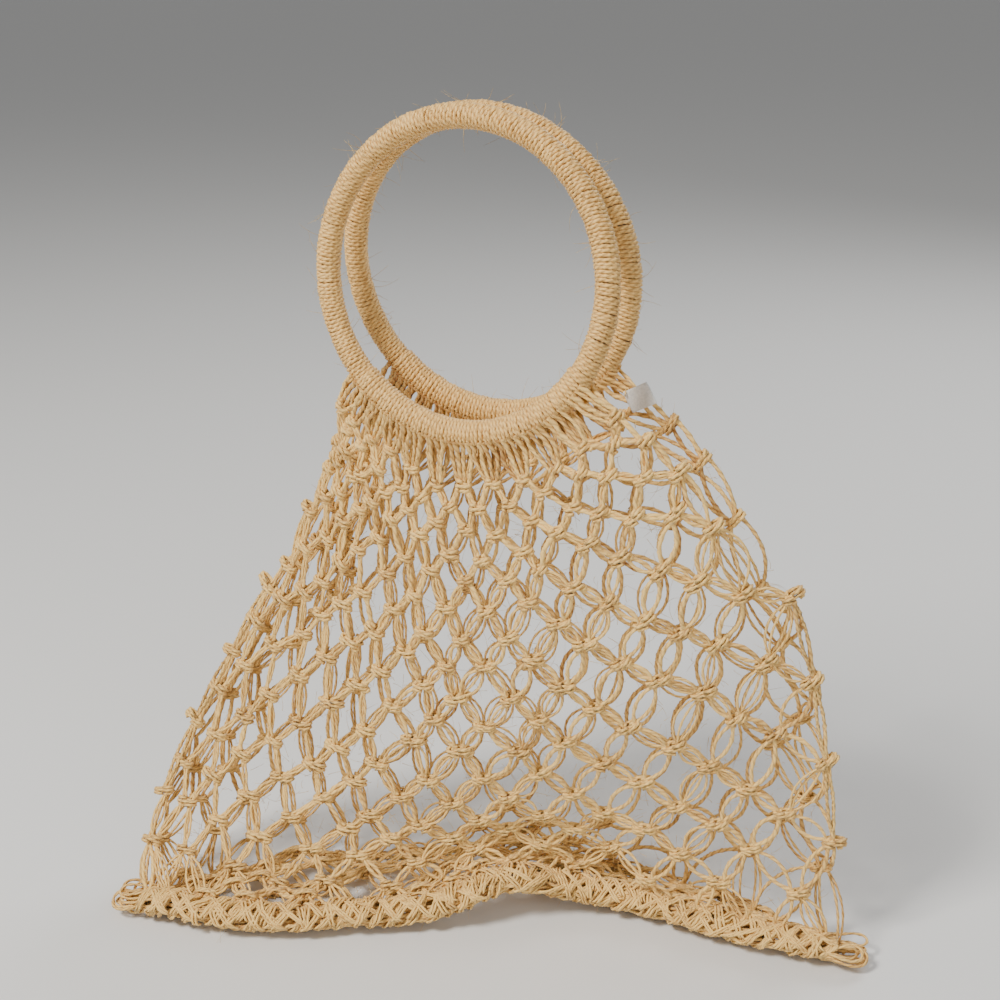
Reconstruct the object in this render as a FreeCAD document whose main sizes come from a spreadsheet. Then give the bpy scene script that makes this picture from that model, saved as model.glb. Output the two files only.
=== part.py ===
"""Knotted twine net handbag with two twine-wrapped hoop handles.

Millimetres. +Z is up, +X runs along the hoops to the right, -Y is the front. The origin is
the bottom centre of the bag's box, on the ground that it rests on. The net hangs from the
lower arcs of the hoops, which lean on each other at the crown. It spreads and turns a little
towards its base, where it lies slack and its front edge is closed by a thick braid.
"""
import FreeCAD, Part
import math
import os
import Sketcher

Vector = FreeCAD.Vector
doc = FreeCAD.newDocument("net_bag")
sheet = doc.addObject("Spreadsheet::Sheet", "Sizes")

# alias, value, what it is
DRIVING = (
    ("crown_height", 431, "highest point of the hoops"),
    ("hoop_outer_dia", 160, "outside diameter of a wrapped hoop"),
    ("wrapped_dia", 12, "tube diameter of a wrapped hoop"),
    ("rod_dia", 8, "cane ring inside the wrapping"),
    ("binding_dia", 14, "tube diameter where the net is bound on"),
    ("layer_gap", 0.02, "radial gap between one layer and the next"),
    ("crown_gap", 0.8, "gap between the two hoops where they lean together"),
    ("lean_angle", 5, "lean of each hoop, degrees"),
    ("bound_left", 45, "net bound from this angle left of the lowest point, degrees"),
    ("bound_right", 59, "net bound to this angle right of the lowest point, degrees"),
    ("heading_length", 8, "heading loops, from the binding to the net"),
    ("heading_thick", 3, "thickness of the heading loops"),
    ("fold_gap", 3.5, "soft fold between the heading loops and the net"),
    ("net_thick", 4, "thickness of the knotted net"),
    ("base_thick", 3, "thickness of the net where it lies flat"),
    ("braid_dia", 18, "diameter of the bottom braid"),
    ("join_dia", 7, "diameter of the knotted side joins"),
    ("loop_ring_dia", 17, "middle diameter of a corner loop"),
    ("loop_cord_dia", 6, "cord diameter of a corner loop"),
    ("tag_width", 15, "price tag, long side"),
    ("tag_height", 11, "price tag, short side"),
    ("tag_thick", 0.5, "price tag, folded paper"),
    ("braid_push", 31, "how far the braid is pushed back at its wide bend"),
    ("braid_swell", 12, "how far the braid swells forward in its left part"),
    ("braid_lift", 14, "how far the braid lifts off the ground at its hump"),
    ("base_spread", 72, "how far the resting edge bows back from the braid's line"),
)
for row, (alias, value, meaning) in enumerate(DRIVING, start=1):
    sheet.set(f"A{row}", meaning)
    sheet.set(f"B{row}", str(value))
    sheet.setAlias(f"B{row}", alias)
derived_row = len(DRIVING) + 1
DERIVED = (
    ("hoop_radius", "=(hoop_outer_dia - wrapped_dia) / 2", "middle radius of a hoop"),
    ("heading_start", "=hoop_radius + binding_dia / 2 + 0.1", "inner edge of the heading loops"),
    ("bound_angle", "=bound_left + bound_right", "whole angle that the net is bound along"),
)
for row, (alias, formula, meaning) in enumerate(DERIVED, start=derived_row):
    sheet.set(f"A{row}", meaning)
    sheet.set(f"B{row}", formula)
    sheet.setAlias(f"B{row}", alias)
doc.recompute()

LEAN = math.radians(sheet.lean_angle)
HALF_CROWN = (sheet.wrapped_dia + sheet.crown_gap) / 2
CROWN_Z = sheet.crown_height - sheet.wrapped_dia / 2
FRONT, BACK = -1, 1
HOOPS_MEET = Vector(-17, 24.7, 0)   # plan place of the hoops' middle, where they lean together

# Corners of the base, where the braid ends, and the three points (left, middle, right) that
# the net hangs through at its two control heights, front and back.
LEFT_CORNER = Vector(-176, -67.3, 0)
RIGHT_CORNER = Vector(176, 59.7, 0)
UPPER_NET = {
    FRONT: (Vector(-112, 19.7, 190), Vector(20, -17.3, 165), Vector(153, 24.7, 300)),
    BACK: (Vector(-112, 19.7, 190), Vector(20, 38.7, 165), Vector(153, 24.7, 300)),
}
LOWER_NET = {
    FRONT: (Vector(-229, -0.3, 50), Vector(-27, 39.7, 26), Vector(155, 92.7, 100)),
    BACK: (Vector(-229, -0.3, 50), Vector(-27, 76.7, 28), Vector(155, 92.7, 100)),
}
NET_STATIONS = 13
NET_SIDE = 0.94        # the panels end here, beside the side joins
NET_FRONT_END = 0.92   # the front panel ends here, above the braid
NET_BACK_END = 0.96    # the back panel ends here, above the base
BASE_NET_END = 0.82    # the flat net ends here, where the base narrows to its corners


# ---- the shape of the hoops and the net ------------------------------------------------
def hoop_down(side):
    """Direction down the plane of a hoop."""
    return Vector(0, side * math.sin(LEAN), -math.cos(LEAN))


def hoop_centre(side):
    crown = HOOPS_MEET + Vector(0, side * HALF_CROWN, CROWN_Z)
    return crown + hoop_down(side) * sheet.hoop_radius


def around_hoop(side, radius, angle):
    """Point in a hoop's plane, angle in degrees from its lowest point towards +X."""
    turn = math.radians(angle)
    spoke = hoop_down(side) * math.cos(turn) + Vector(1, 0, 0) * math.sin(turn)
    return hoop_centre(side) + spoke * radius


def through(points, u):
    """The curve through three points, at u = -1, 0 and 1."""
    left, middle, right = points
    return left * (u * (u - 1) / 2) + middle * (1 - u * u) + right * (u * (u + 1) / 2)


def base_line(u):
    return LEFT_CORNER * ((1 - u) / 2) + RIGHT_CORNER * ((1 + u) / 2)


def base_back():
    """Horizontal direction from the braid's line to the back."""
    along = (RIGHT_CORNER - LEFT_CORNER).normalize()
    return Vector(-along.y, along.x, 0)


def bump(u, place, reach):
    """A smooth bump, 1 at its place and fading to nothing past its reach."""
    return math.exp(-((u - place) / reach) ** 2)


def bump(u, place, reach):
    """A smooth bump, 1 at its place and fading to nothing past its reach."""
    return math.exp(-((u - place) / reach) ** 2)


def bump(u, place, reach):
    """A smooth bump, 1 at its place and fading to nothing past its reach."""
    return math.exp(-((u - place) / reach) ** 2)


def bump(u, place, reach):
    """A smooth bump, 1 at its place and fading to nothing past its reach."""
    return math.exp(-((u - place) / reach) ** 2)


def seam(u):
    """Middle of the bottom braid."""
    push = sheet.braid_push * bump(u, 0.33, 0.38) - sheet.braid_swell * bump(u, -0.68, 0.28)
    lift = Vector(0, 0, sheet.braid_dia / 2 + sheet.braid_lift * bump(u, 0.07, 0.17))
    return base_line(u) + base_back() * push + lift


def resting_edge(u):
    """Back edge of the net that lies on the ground."""
    return base_line(u) + base_back() * (sheet.base_spread * (1 - u * u))


def net_point(side, u, v):
    """Middle of the net, u across from -1 to 1, v down from 0 at the hoop to 1 at the base."""
    angle = -sheet.bound_left + sheet.bound_angle * (u + 1) / 2
    top_radius = sheet.heading_start + sheet.heading_length + sheet.fold_gap
    top = around_hoop(side, top_radius, angle)
    if side == FRONT:
        low = seam(u) + Vector(0, 0, 4)
    else:
        low = resting_edge(u) + Vector(0, 0, sheet.base_thick + sheet.net_thick / 2 + 0.4)
    w = 1 - v
    upper, lower = through(UPPER_NET[side], u), through(LOWER_NET[side], u)
    return top * w**3 + upper * (3 * w * w * v) + lower * (3 * w * v * v) + low * v**3


# ---- makers ----------------------------------------------------------------------------
def hoop_placement(side):
    """Turns a ring about its own Z, begun at +X, so that it starts at the left bound end."""
    x_axis = around_hoop(side, 1, -sheet.bound_left) - hoop_centre(side)
    y_axis = around_hoop(side, 1, 90 - sheet.bound_left) - hoop_centre(side)
    turn = FreeCAD.Rotation(x_axis, y_axis, x_axis.cross(y_axis), "XYZ")
    return FreeCAD.Placement(hoop_centre(side), turn)


def origin_feature(body, role):
    return next(item for item in body.Origin.OriginFeatures if item.Role == role)


def new_body(label):
    body = doc.addObject("PartDesign::Body", label)
    body.Label = label
    return body


def new_sketch(body, plane_role):
    sketch = body.newObject("Sketcher::SketchObject", body.Label + "_sketch")
    sketch.AttachmentSupport = [(origin_feature(body, plane_role), "")]
    sketch.MapMode = "FlatFace"
    return sketch


def add_circle(sketch, radius_formula):
    """A circle centred at the hoop's middle radius on the sketch's horizontal axis."""
    circle = Part.Circle(Vector(sheet.hoop_radius, 0, 0), Vector(0, 0, 1), 5)
    index = sketch.addGeometry(circle, False)
    sketch.addConstraint(Sketcher.Constraint("PointOnObject", index, 3, -1))
    size = sketch.addConstraint(Sketcher.Constraint("Radius", index, 5))
    place = sketch.addConstraint(
        Sketcher.Constraint("DistanceX", -1, 1, index, 3, sheet.hoop_radius))
    sketch.setExpression(f"Constraints[{size}]", radius_formula)
    sketch.setExpression(f"Constraints[{place}]", "Sizes.hoop_radius")


def revolve(body, sketch, angle_formula=None):
    turned = body.newObject("PartDesign::Revolution", body.Label + "_turn")
    turned.Profile = sketch
    turned.ReferenceAxis = (sketch, ["V_Axis"])
    turned.Angle = 360
    if angle_formula:
        turned.setExpression("Angle", angle_formula)
    return turned


def hoop_ring(label, side, outer, inner=None, angle_formula=None):
    """A ring or part ring round the hoop, solid or as a layer over the one inside it."""
    body = new_body(label)
    sketch = new_sketch(body, "XZ_Plane")
    add_circle(sketch, outer)
    if inner:
        add_circle(sketch, inner)
    revolve(body, sketch, angle_formula)
    body.Placement = hoop_placement(side)
    return body


def heading_strip(label, side):
    """The row of heading loops below the binding, as a strip in the hoop's plane."""
    body = new_body(label)
    sketch = new_sketch(body, "XZ_Plane")
    near, far = sheet.heading_start, sheet.heading_start + sheet.heading_length
    half = sheet.heading_thick / 2
    corners = [Vector(near, -half, 0), Vector(far, -half, 0), Vector(far, half, 0),
               Vector(near, half, 0)]
    for start, end in zip(corners, corners[1:] + corners[:1]):
        sketch.addGeometry(Part.LineSegment(start, end), False)
    for index in range(4):
        sketch.addConstraint(Sketcher.Constraint("Coincident", index, 2, (index + 1) % 4, 1))
    for index, direction in enumerate(("Horizontal", "Vertical", "Horizontal", "Vertical")):
        sketch.addConstraint(Sketcher.Constraint(direction, index))
    sizes = (
        (("DistanceX", 0, 1, 0, 2, far - near), "Sizes.heading_length"),
        (("DistanceY", 1, 1, 1, 2, 2 * half), "Sizes.heading_thick"),
        (("DistanceX", -1, 1, 0, 1, near), "Sizes.heading_start"),
        (("DistanceY", 0, 1, -1, 1, half), "Sizes.heading_thick / 2"),
    )
    for constraint, formula in sizes:
        index = sketch.addConstraint(Sketcher.Constraint(*constraint))
        sketch.setExpression(f"Constraints[{index}]", formula)
    revolve(body, sketch, "Sizes.bound_angle")
    body.Placement = hoop_placement(side)
    return body


def soft_feature(label, shape):
    feature = doc.addObject("Part::Feature", label)
    feature.Label = label
    feature.Shape = shape
    return feature


def net_panel(label, side, end):
    """A thin curved shell through the middle of the knotted net."""
    steps = [index / (NET_STATIONS - 1) for index in range(NET_STATIONS)]
    grid = [[net_point(side, NET_SIDE * (2 * a - 1), end * b) for b in steps] for a in steps]
    middle = Part.BSplineSurface()
    middle.interpolate(grid)
    half = sheet.net_thick / 2
    inner_skin = middle.toShape().makeOffsetShape(-half, 0.01)
    shell = inner_skin.makeOffsetShape(sheet.net_thick, 0.01, fill=True)
    solid = shell if shell.ShapeType == "Solid" else Part.Solid(shell)
    return soft_feature(label, solid)


def rounded_path(points):
    """Straight runs joined by tangent arcs, and the length of the whole path."""
    edges, start = [], points[0]
    for before, corner, after in zip(points, points[1:], points[2:]):
        into, out = corner - before, after - corner
        cut = 0.45 * min(into.Length, out.Length)
        first = corner - into.normalize() * cut
        last = corner + out.normalize() * cut
        half_turn = into.getAngle(out) / 2
        bisector = (out - into).normalize()
        radius = cut / math.tan(half_turn)
        middle = corner + bisector * (radius / math.cos(half_turn) - radius)
        edges.append(Part.LineSegment(start, first).toShape())
        edges.append(Part.Arc(first, middle, last).toShape())
        start = last
    edges.append(Part.LineSegment(start, points[-1]).toShape())
    return Part.Wire(edges)


def tube(label, points, diameter):
    path = rounded_path(points)
    first = points[1] - points[0]
    rim = Part.Wire(Part.makeCircle(diameter / 2, points[0], first))
    solid = path.makePipeShell([rim], True, False)
    expected = math.pi * diameter**2 / 4 * path.Length
    if abs(solid.Volume - expected) > 0.02 * expected:
        raise ValueError(f"{label}: volume {solid.Volume:.0f}, expected {expected:.0f}")
    return soft_feature(label, solid)


def side_join(label, u):
    """The knotted join down one side, below the slit beside the mouth."""
    middles = []
    for v in (0.42, 0.56, 0.7, 0.84, 0.94):
        middles.append((net_point(FRONT, u, v) + net_point(BACK, u, v)) / 2)
    return tube(label, middles, sheet.join_dia)


def base_net():
    """The net that lies flat on the ground, between the braid and the resting edge."""
    body = new_body("base_net")
    sketch = new_sketch(body, "XY_Plane")
    clear = sheet.braid_dia / 2 + 2
    stations = [BASE_NET_END * (index - 8) / 8 for index in range(17)]
    front_edge = []
    for u in stations:
        place = seam(u) + base_back() * clear
        front_edge.append(Vector(place.x, place.y, 0))
    back_edge = [resting_edge(u) for u in stations]
    for points in (front_edge, back_edge):
        curve = Part.BSplineCurve()
        curve.interpolate(points)
        sketch.addGeometry(curve, False)
    for place in (0, -1):
        sketch.addGeometry(Part.LineSegment(front_edge[place], back_edge[place]), False)
    pad = body.newObject("PartDesign::Pad", "base_net_pad")
    pad.Profile = sketch
    pad.setExpression("Length", "Sizes.base_thick")
    return body


def corner_loop(label, corner, outward):
    ring = doc.addObject("Part::Torus", label)
    ring.Label = label
    ring.setExpression("Radius1", "Sizes.loop_ring_dia / 2")
    ring.setExpression("Radius2", "Sizes.loop_cord_dia / 2")
    reach = sheet.loop_ring_dia / 2 + sheet.loop_cord_dia / 2 + 0.5
    place = corner + outward * reach
    ring.Placement.Base = Vector(place.x, place.y, sheet.loop_cord_dia / 2)
    return ring


def price_tag():
    """A blank folded paper tag beside the right end of the hoops, on the back panel's front."""
    tag = doc.addObject("Part::Box", "price_tag")
    tag.Label = "price_tag"
    tag.setExpression("Length", "Sizes.tag_width")
    tag.setExpression("Width", "Sizes.tag_thick")
    tag.setExpression("Height", "Sizes.tag_height")
    net = net_point(BACK, 0.93, 0.02)
    turn = FreeCAD.Rotation(Vector(0, 1, 0), -30)
    half = Vector(sheet.tag_width / 2, sheet.tag_thick / 2, sheet.tag_height / 2)
    forward = Vector(0, -(sheet.net_thick / 2 + 2.5), 0)
    tag.Placement = FreeCAD.Placement(net + forward - turn.multVec(half), turn)
    return tag


# ---- the pieces ------------------------------------------------------------------------
pieces = []
for name, side in (("front", FRONT), ("back", BACK)):
    pieces.append(hoop_ring(f"{name}_hoop_core", side, "Sizes.rod_dia / 2"))
    pieces.append(hoop_ring(f"{name}_hoop_wrapping", side, "Sizes.wrapped_dia / 2",
                            "Sizes.rod_dia / 2 + Sizes.layer_gap"))
    pieces.append(hoop_ring(f"{name}_hoop_binding", side, "Sizes.binding_dia / 2",
                            "Sizes.wrapped_dia / 2 + Sizes.layer_gap", "Sizes.bound_angle"))
    pieces.append(heading_strip(f"{name}_heading_loops", side))
doc.recompute()

pieces.append(net_panel("front_net_panel", FRONT, NET_FRONT_END))
pieces.append(net_panel("back_net_panel", BACK, NET_BACK_END))
pieces.append(base_net())
pieces.append(side_join("left_side_join", -1))
pieces.append(side_join("right_side_join", 1))
braid_places = (-1, -0.8, -0.6, -0.4, -0.22, -0.08, 0.07, 0.22, 0.38, 0.56, 0.78, 1)
pieces.append(tube("bottom_braid", [seam(u) for u in braid_places], sheet.braid_dia))
along = (RIGHT_CORNER - LEFT_CORNER).normalize()
pieces.append(corner_loop("left_corner_loop", LEFT_CORNER, -along))
pieces.append(corner_loop("right_corner_loop", RIGHT_CORNER, along))
pieces.append(price_tag())
doc.recompute()

# ---- checks and files ------------------------------------------------------------------
for item in doc.Objects:
    if "Invalid" in item.State or "Error" in item.State:
        raise RuntimeError(f"{item.Label} failed: {item.State}")
os.makedirs("parts", exist_ok=True)
for piece in pieces:
    if piece.Shape.isNull() or not piece.Shape.isValid() or not piece.Shape.Solids:
        raise RuntimeError(f"{piece.Label} has no valid shape")
    box = piece.Shape.BoundBox
    print(f"{piece.Label:22s} volume {piece.Shape.Volume / 1000:8.2f} cm3  solids {len(piece.Shape.Solids)}"
          f"  x {box.XMin:.1f} {box.XMax:.1f}  y {box.YMin:.1f} {box.YMax:.1f}"
          f"  z {box.ZMin:.1f} {box.ZMax:.1f}")
    piece.Shape.exportStep(f"parts/{piece.Label}.step")
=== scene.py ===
import math

import bpy
import numpy as np
from bpy.props import FloatProperty, FloatVectorProperty, IntProperty, PointerProperty
from mathutils import Matrix, Vector


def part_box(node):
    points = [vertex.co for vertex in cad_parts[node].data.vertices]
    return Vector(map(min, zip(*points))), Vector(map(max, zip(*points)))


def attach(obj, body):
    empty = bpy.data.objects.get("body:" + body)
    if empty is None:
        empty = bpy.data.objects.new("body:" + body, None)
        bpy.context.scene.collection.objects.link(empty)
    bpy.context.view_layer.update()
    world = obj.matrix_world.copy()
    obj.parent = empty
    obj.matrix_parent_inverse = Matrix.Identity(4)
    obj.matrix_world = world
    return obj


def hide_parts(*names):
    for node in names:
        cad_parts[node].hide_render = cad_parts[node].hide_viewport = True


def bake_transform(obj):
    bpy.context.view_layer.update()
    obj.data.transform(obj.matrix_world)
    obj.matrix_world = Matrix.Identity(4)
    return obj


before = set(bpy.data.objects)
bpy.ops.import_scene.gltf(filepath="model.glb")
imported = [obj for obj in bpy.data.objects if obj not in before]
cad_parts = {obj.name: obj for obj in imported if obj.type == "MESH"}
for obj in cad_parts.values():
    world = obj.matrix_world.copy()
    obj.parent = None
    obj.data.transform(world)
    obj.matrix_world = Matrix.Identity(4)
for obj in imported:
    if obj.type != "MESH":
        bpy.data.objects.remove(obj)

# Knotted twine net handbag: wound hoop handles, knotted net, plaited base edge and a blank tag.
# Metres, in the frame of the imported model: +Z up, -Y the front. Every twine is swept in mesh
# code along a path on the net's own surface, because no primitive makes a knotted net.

bl_info = {
    "name": "Knotted Net Bag",
    "version": (1, 0, 0),
    "blender": (4, 5, 0),
    "location": "3D View > Sidebar > Net Bag",
    "description": "Makes the looks of a knotted twine net bag with wound hoop handles",
    "category": "Add Mesh",
}

MM = 0.001
FRONT, BACK = -1, 1
SIDE_NAMES = {FRONT: "front", BACK: "back"}
RIM_LOW, RIM_HIGH = (Vector(corner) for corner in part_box("front_hoop_wrapping"))
BACK_LOW, BACK_HIGH = (Vector(corner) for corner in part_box("back_hoop_wrapping"))
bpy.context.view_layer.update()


# ---- settings --------------------------------------------------------------------------
class HoopSettings(bpy.types.PropertyGroup):
    wrapped: FloatProperty(name="Wrapped tube", description="Tube diameter of a wound hoop",
                           default=12 * MM, unit="LENGTH")
    bound: FloatProperty(name="Bound tube", description="Tube diameter where the net is bound on",
                         default=14 * MM, unit="LENGTH")
    lean: FloatProperty(name="Lean", description="Lean of each hoop towards the other",
                        default=math.radians(5), subtype="ANGLE")
    pitch: FloatProperty(name="Winding pitch", description="Distance from one turn to the next",
                         default=1.85 * MM, unit="LENGTH")
    bound_left: FloatProperty(name="Bound to the left", description="From the lowest point",
                              default=math.radians(45), subtype="ANGLE")
    bound_right: FloatProperty(name="Bound to the right", description="From the lowest point",
                               default=math.radians(59), subtype="ANGLE")


class NetSettings(bpy.types.PropertyGroup):
    columns: IntProperty(name="Columns", description="Knots across one panel", default=12, min=4)
    rows: IntProperty(name="Rows", description="Rows of knots down the front", default=17, min=6)
    cord: FloatProperty(name="Cord radius", description="Radius of one two-ply cord",
                        default=1.1 * MM, unit="LENGTH")
    ply: FloatProperty(name="Ply radius", description="Radius of one loose ply",
                       default=0.74 * MM, unit="LENGTH")
    lay: FloatProperty(name="Lay", description="Length of one turn of the plies",
                       default=6 * MM, unit="LENGTH")
    knot_width: FloatProperty(name="Knot half width", description="Half the width of a knot",
                              default=4.9 * MM, unit="LENGTH")
    knot_height: FloatProperty(name="Knot half height", description="Half the height of a knot",
                               default=3.3 * MM, unit="LENGTH")
    open_bow: FloatProperty(name="Open bow", description="Bow of a slack link, over its length",
                            default=0.17)
    tight_bow: FloatProperty(name="Tight bow", description="Bow of a pulled link, over its length",
                             default=0.07)


class BraidSettings(bpy.types.PropertyGroup):
    width: FloatProperty(name="Width", description="Width of the plaited edge",
                         default=21 * MM, unit="LENGTH")
    height: FloatProperty(name="Height", description="Height of the plaited edge",
                          default=15 * MM, unit="LENGTH")
    strand: FloatProperty(name="Strand radius", description="Radius of one strand",
                          default=0.78 * MM, unit="LENGTH")
    repeat: FloatProperty(name="Repeat", description="Length of one full plait",
                          default=25 * MM, unit="LENGTH")


class FinishSettings(bpy.types.PropertyGroup):
    straw_dark: FloatVectorProperty(name="Dark straw", description="Shaded fibre colour",
                                    subtype="COLOR", default=(0.36, 0.150, 0.030))
    straw_light: FloatVectorProperty(name="Light straw", description="Bright fibre colour",
                                     subtype="COLOR", default=(0.96, 0.64, 0.21))
    gold_dark: FloatVectorProperty(name="Dark gold", description="Shaded winding colour",
                                   subtype="COLOR", default=(0.36, 0.155, 0.030))
    gold_light: FloatVectorProperty(name="Light gold", description="Bright winding colour",
                                    subtype="COLOR", default=(0.94, 0.60, 0.20))
    cane: FloatVectorProperty(name="Cane", description="Colour of the ring inside a hoop",
                              subtype="COLOR", default=(0.34, 0.19, 0.08))
    paper: FloatVectorProperty(name="Paper", description="Colour of the blank tag",
                               subtype="COLOR", default=(0.84, 0.84, 0.81))


class StageSettings(bpy.types.PropertyGroup):
    azimuth: FloatProperty(name="Azimuth", description="Camera to the right of the front",
                           default=math.radians(27), subtype="ANGLE")
    pitch: FloatProperty(name="Pitch", description="Camera's tilt down",
                         default=math.radians(20.4), subtype="ANGLE")
    distance: FloatProperty(name="Distance", description="Level distance to the hoops",
                            default=0.70, unit="LENGTH")
    height: FloatProperty(name="Height", description="Camera height", default=0.497,
                          unit="LENGTH")
    sidestep: FloatProperty(name="Sidestep", description="Camera moved to its right",
                            default=0.012, unit="LENGTH")
    lens: FloatProperty(name="Lens", description="Focal length in millimetres", default=53.6)


# ---- the shape of the net --------------------------------------------------------------
def vec(x, y, z):
    return np.array((x, y, z), float) * MM


# The net hangs through these points, left, middle and right, at its two control heights.
UPPER_NET = {
    FRONT: (vec(-112, 19.7, 190), vec(20, -17.3, 165), vec(153, 24.7, 300)),
    BACK: (vec(-112, 19.7, 190), vec(20, 38.7, 165), vec(153, 24.7, 300)),
}
LOWER_NET = {
    FRONT: (vec(-229, -0.3, 50), vec(-27, 39.7, 26), vec(155, 92.7, 100)),
    BACK: (vec(-229, -0.3, 50), vec(-27, 76.7, 28), vec(155, 92.7, 100)),
}
BRAID_RADIUS = 9 * MM
LEFT_CORNER = vec(-176, -67.3, 0)
RIGHT_CORNER = vec(176, 59.7, 0)
BRAID_PUSH, BRAID_SWELL, BRAID_LIFT = 31 * MM, 12 * MM, 14 * MM
BASE_SPREAD = 72 * MM
NET_TOP = 92.6 * MM        # the net begins this far from a hoop's centre
SLIT_END = 0.4             # the sides are open above this part of the net's depth
BASE_PART = 0.22           # the back net's depth that lies on the ground, past 1


def column(values):
    return np.asarray(values, float)[..., None]


def hoop_down(side):
    lean = bpy.context.scene.bag_hoops.lean
    return np.array((0, side * math.sin(lean), -math.cos(lean)))


def hoop_radius():
    return (RIM_HIGH.x - RIM_LOW.x - bpy.context.scene.bag_hoops.wrapped) / 2


def hoop_centre(side):
    low, high = (RIM_LOW, RIM_HIGH) if side == FRONT else (BACK_LOW, BACK_HIGH)
    half_tube = bpy.context.scene.bag_hoops.wrapped / 2
    near_crown = high.y - half_tube if side == FRONT else low.y + half_tube
    crown = np.array(((low.x + high.x) / 2, near_crown, high.z - half_tube))
    return crown + hoop_down(side) * hoop_radius()


def around_hoop(side, radius, angle):
    """Points in a hoop's plane, by angle from its lowest point towards +X."""
    angle = column(angle)
    spoke = hoop_down(side) * np.cos(angle) + np.array((1.0, 0, 0)) * np.sin(angle)
    return hoop_centre(side) + spoke * column(radius)


def through(points, u):
    left, middle, right = points
    u = column(u)
    return left * (u * (u - 1) / 2) + middle * (1 - u * u) + right * (u * (u + 1) / 2)


def base_line(u):
    u = column(u)
    return LEFT_CORNER * ((1 - u) / 2) + RIGHT_CORNER * ((1 + u) / 2)


def base_back():
    along = RIGHT_CORNER - LEFT_CORNER
    along = along / np.linalg.norm(along)
    return np.array((-along[1], along[0], 0))


def bump(u, place, reach):
    """A smooth bump, 1 at its place and fading past its reach."""
    return np.exp(-((np.asarray(u, float) - place) / reach) ** 2)


def seam(u):
    """Middle of the plaited edge, pushed back to the right and swelling forward to the left."""
    push = BRAID_PUSH * bump(u, 0.33, 0.38) - BRAID_SWELL * bump(u, -0.68, 0.28)
    lift = np.array((0, 0, 1.0)) * column(BRAID_RADIUS + BRAID_LIFT * bump(u, 0.07, 0.17))
    return base_line(u) + base_back() * column(push) + lift


def resting_edge(u):
    u = np.asarray(u, float)
    return base_line(u) + base_back() * column(BASE_SPREAD * (1 - u * u))


def net_point(side, u, v):
    """The net, u across from -1 to 1 and v down from 0 at the hoop. Past v = 1 the back net
    lies on the ground and runs forward to the plaited edge."""
    hoops = bpy.context.scene.bag_hoops
    u, v = np.broadcast_arrays(np.asarray(u, float), np.asarray(v, float))
    angle = -hoops.bound_left + (hoops.bound_left + hoops.bound_right) * (u + 1) / 2
    top = around_hoop(side, NET_TOP, angle)
    if side == FRONT:
        low = seam(u) + vec(0, 0, 2)
    else:
        low = resting_edge(u) + vec(0, 0, 3)
    t = column(np.clip(v, -0.2, 1))
    w = 1 - t
    hung = (top * w**3 + through(UPPER_NET[side], u) * (3 * w * w * t)
            + through(LOWER_NET[side], u) * (3 * w * t * t) + low * t**3)
    lying = np.clip(column(v) - 1, 0, None) / BASE_PART
    return hung + (seam(u) - vec(0, 0, 3) - low) * lying


def net_frame(side, u, v):
    """Across, down and outward unit directions of the net."""
    step = 0.01
    across = unit(net_point(side, u + step, v) - net_point(side, u - step, v))
    down = net_point(side, u, v + step) - net_point(side, u, v - step)
    outward = unit(np.cross(across, down)) * -side
    return across, unit(down - across * dot(down, across)), outward


def unit(vectors):
    return vectors / np.maximum(np.linalg.norm(vectors, axis=-1, keepdims=True), 1e-12)


def fold_with_hoop(piece):
    """Bakes the piece's placement into its mesh; the piece is not attached to a body."""
    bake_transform(piece)


# ---- twine -----------------------------------------------------------------------------
def smooth_path(points, count):
    """Catmull-Rom curves through points of shape (..., n, 3), each as count points."""
    points = np.asarray(points, float)
    first = 2 * points[..., :1, :] - points[..., 1:2, :]
    last = 2 * points[..., -1:, :] - points[..., -2:-1, :]
    padded = np.concatenate((first, points, last), axis=-2)
    place = np.linspace(0, points.shape[-2] - 1 - 1e-9, count)
    index = place.astype(int)
    t = (place - index)[:, None]
    a, b, c, d = (padded[..., index + shift, :] for shift in range(4))
    return 0.5 * (2 * b + (c - a) * t + (2 * a - 5 * b + 4 * c - d) * t**2
                  + (3 * b - a - 3 * c + d) * t**3)


def bezier_path(start, first, second, end, count):
    t = np.linspace(0, 1, count)[:, None]
    start, first, second, end = (p[..., None, :] for p in (start, first, second, end))
    return (start * (1 - t) ** 3 + first * 3 * t * (1 - t) ** 2
            + second * 3 * t * t * (1 - t) + end * t**3)


def dot(a, b):
    return (a * b).sum(-1, keepdims=True)


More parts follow.
